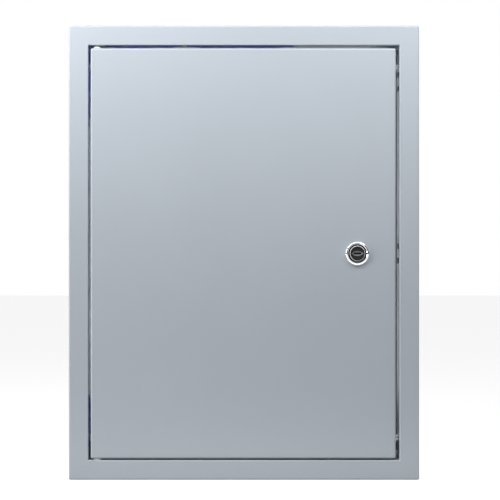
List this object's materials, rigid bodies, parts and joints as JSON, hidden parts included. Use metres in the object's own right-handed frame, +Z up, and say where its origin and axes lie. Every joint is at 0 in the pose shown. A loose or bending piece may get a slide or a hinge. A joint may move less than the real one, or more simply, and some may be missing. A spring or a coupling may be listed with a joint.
{
  "type": "fire alarm control panel",
  "caption": "Flush-mounted steel fire alarm control panel with a blank lockable door, inner control fascia, circuit boards, transformer and standby batteries.",
  "frame": {"origin": "centre of the four wall-fixing holes, on the rear face of the recessed box", "axes": "+X to the right as seen from the front, +Y into the wall, +Z up"},
  "size_m": [0.338, 0.1026, 0.438],
  "materials": {
    "face_paint": "satin powder coat, light bluish grey",
    "fascia_paint": "satin powder coat, off-white",
    "galvanised": "galvanised sheet steel",
    "zinc": "bright zinc plating",
    "spring_steel": "drawn spring wire",
    "brass": "plain brass",
    "chrome": "bright chrome plating",
    "lock_chrome": "satin chrome plating",
    "rubber": "black moulded rubber",
    "nylon": "natural nylon",
    "board": "green solder mask on glass-fibre board",
    "terminal_plastic": "green moulded plastic",
    "relay_plastic": "white moulded plastic",
    "capacitor_sleeve": "black shrink sleeve",
    "chip_plastic": "black moulded plastic",
    "fuse_glass": "clear glass tube",
    "ribbon_plastic": "grey flat cable",
    "anodised": "black anodised",
    "overlay_film": "matt printed polyester film",
    "red_lamp": "tinted lens",
    "amber_lamp": "tinted lens",
    "green_lamp": "tinted lens",
    "button_plastic": "moulded keys",
    "core_steel": "varnished laminations",
    "coil_tape": "yellow insulating tape",
    "block_plastic": "off-white moulded plastic",
    "battery_case": "black moulded case",
    "red_wire": "red insulation",
    "black_wire": "black insulation"
  },
  "bodies": {
    "cabinet": {"back_box": "galvanised", "battery_leads": "red_wire", "battery_left": "battery_case", "battery_right": "battery_case", "battery_tabs": "zinc", "board_fuses": "fuse_glass", "board_supports": "nylon", "box_earth_stud": "brass", "capacitors": "capacitor_sleeve", "charger_board": "board", "chips": "chip_plastic", "control_fascia": "fascia_paint", "display_board": "board", "door_buffers": "rubber", "fascia_overlay": "overlay_film", "fascia_pillars": "zinc", "fault_lamps": "amber_lamp", "field_terminals": "terminal_plastic", "fire_lamps": "red_lamp", "frame_brackets": "galvanised", "frame_screws": "zinc", "fuse_carrier": "chip_plastic", "fuse_clips": "zinc", "gear_plate": "galvanised", "heat_sink": "anodised", "inner_screws": "zinc", "keyswitch_body": "chrome", "main_board": "board", "mains_terminal": "block_plastic", "plate_nuts": "zinc", "plate_studs": "zinc", "power_lamp": "green_lamp", "relays": "relay_plastic", "ribbon_cable": "ribbon_plastic", "ribbon_headers": "chip_plastic", "sounder": "chip_plastic", "tactile_switches": "chip_plastic", "terminal_screws": "zinc", "transformer_coil": "coil_tape", "transformer_core": "core_steel", "transformer_feet": "galvanised", "transformer_leads": "black_wire", "trim_frame": "face_paint"},
    "door": {"door": "face_paint", "hinge_bracket": "galvanised", "pin_spring": "spring_steel", "lower_hinge_pin": "zinc", "hinge_washers": "nylon", "lock_housing": "chrome", "lock_nut": "zinc", "door_earth_stud": "brass"},
    "hinge_pin": {"upper_hinge_pin": "zinc"},
    "lock": {"lock_plug": "lock_chrome", "lock_cam": "zinc", "cam_screw": "zinc"},
    "keyswitch": {"keyswitch_core": "lock_chrome"},
    "silence_button": {"silence_button": "button_plastic"},
    "sound_button": {"sound_button": "button_plastic"},
    "mute_button": {"mute_button": "button_plastic"},
    "reset_button": {"reset_button": "button_plastic"}
  },
  "joints": [
    {"name": "door_hinge", "type": "hinge", "parent": "cabinet", "child": "door", "pos_m": [-0.1417, -0.095, 0], "axis": [0, 0, -1], "range_deg": [0, 110]},
    {"name": "hinge_pin_retract", "type": "slide", "parent": "door", "child": "hinge_pin", "axis": [0, 0, -1], "range_m": [0, 0.006], "stiffness_N_per_m": 400, "springref_m": -0.003, "deforming": ["pin_spring"]},
    {"name": "lock_turn", "type": "hinge", "parent": "door", "child": "lock", "pos_m": [0.1094, -0.075, -0.0007], "axis": [0, -1, 0], "range_deg": [0, 90]},
    {"name": "keyswitch_turn", "type": "hinge", "parent": "cabinet", "child": "keyswitch", "pos_m": [0.09, -0.045, 0.028], "axis": [0, 1, 0], "range_deg": [0, 90]},
    {"name": "silence_button_press", "type": "slide", "parent": "cabinet", "child": "silence_button", "axis": [0, 1, 0], "range_m": [0, 0.001], "stiffness_N_per_m": 500, "springref_m": -0.001},
    {"name": "sound_button_press", "type": "slide", "parent": "cabinet", "child": "sound_button", "axis": [0, 1, 0], "range_m": [0, 0.001], "stiffness_N_per_m": 500, "springref_m": -0.001},
    {"name": "mute_button_press", "type": "slide", "parent": "cabinet", "child": "mute_button", "axis": [0, 1, 0], "range_m": [0, 0.001], "stiffness_N_per_m": 500, "springref_m": -0.001},
    {"name": "reset_button_press", "type": "slide", "parent": "cabinet", "child": "reset_button", "axis": [0, 1, 0], "range_m": [0, 0.001], "stiffness_N_per_m": 500, "springref_m": -0.001}
  ]
}
